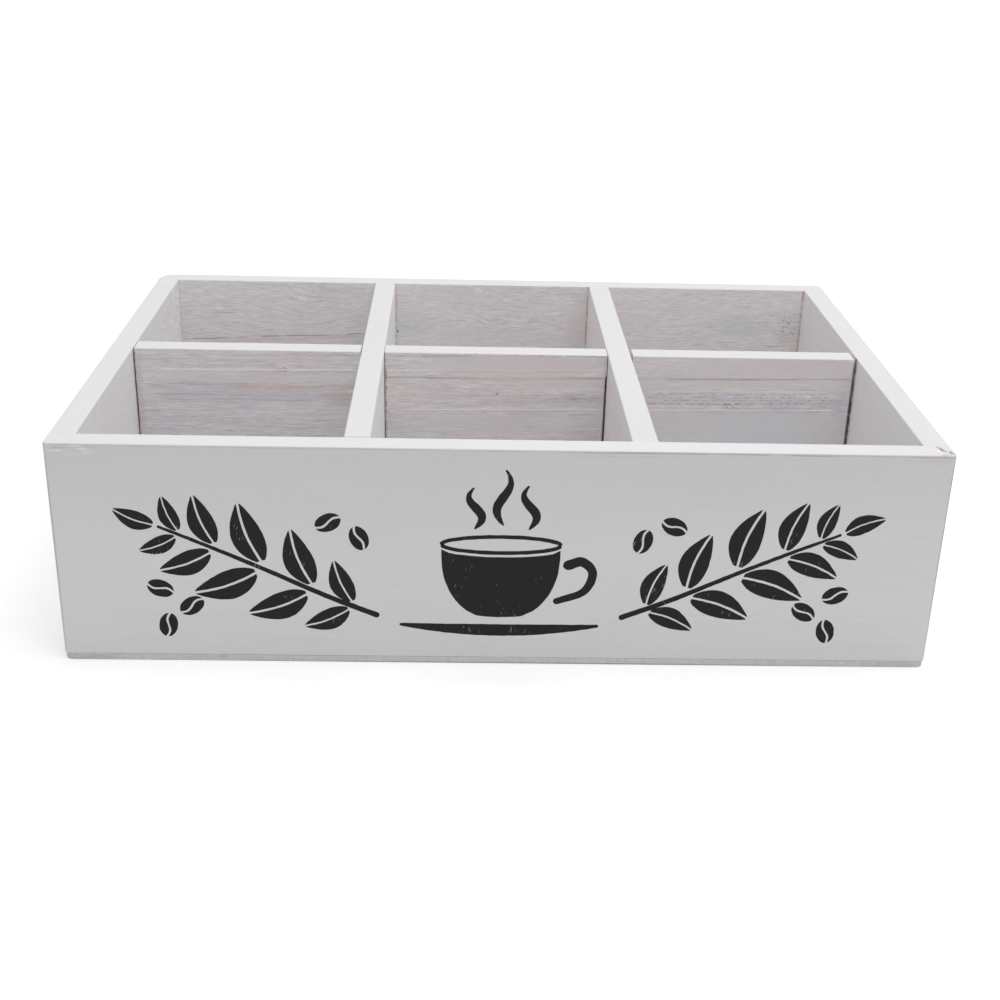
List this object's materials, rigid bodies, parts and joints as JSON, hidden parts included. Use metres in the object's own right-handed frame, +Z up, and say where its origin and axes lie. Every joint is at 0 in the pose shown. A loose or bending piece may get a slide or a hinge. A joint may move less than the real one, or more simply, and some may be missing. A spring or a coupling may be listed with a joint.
{
  "type": "coffee station organizer",
  "caption": "Shallow open-topped box of white painted boards, divided into square bays by cross-lapped dividers, for cups, lids, pods and sachets at a coffee station.",
  "frame": {"origin": "middle of the underside", "axes": "+X along the width to the right, -Y out of the front board, +Z up"},
  "size_m": [0.32, 0.2196, 0.0861],
  "materials": {
    "wall_paint": "thin matt white paint over fine-grained light wood, the grain faintly showing",
    "divider_paint": "thinner matt white wash with a faint warm mauve cast and brown grain streaks",
    "base_paint": "thin plywood panel, white wash on its edge and upper face, bare underneath",
    "brad_steel": "plain drawn steel",
    "black_paint": "satin black paint film with fine scratches along the grain"
  },
  "bodies": {
    "root": {"front_board": "wall_paint", "back_board": "wall_paint", "left_side_board": "wall_paint", "right_side_board": "wall_paint", "left_divider": "divider_paint", "right_divider": "divider_paint", "cross_divider": "divider_paint", "base_panel": "base_paint", "front_brads": "brad_steel", "back_brads": "brad_steel", "base_brads": "brad_steel"}
  },
  "joints": []
}
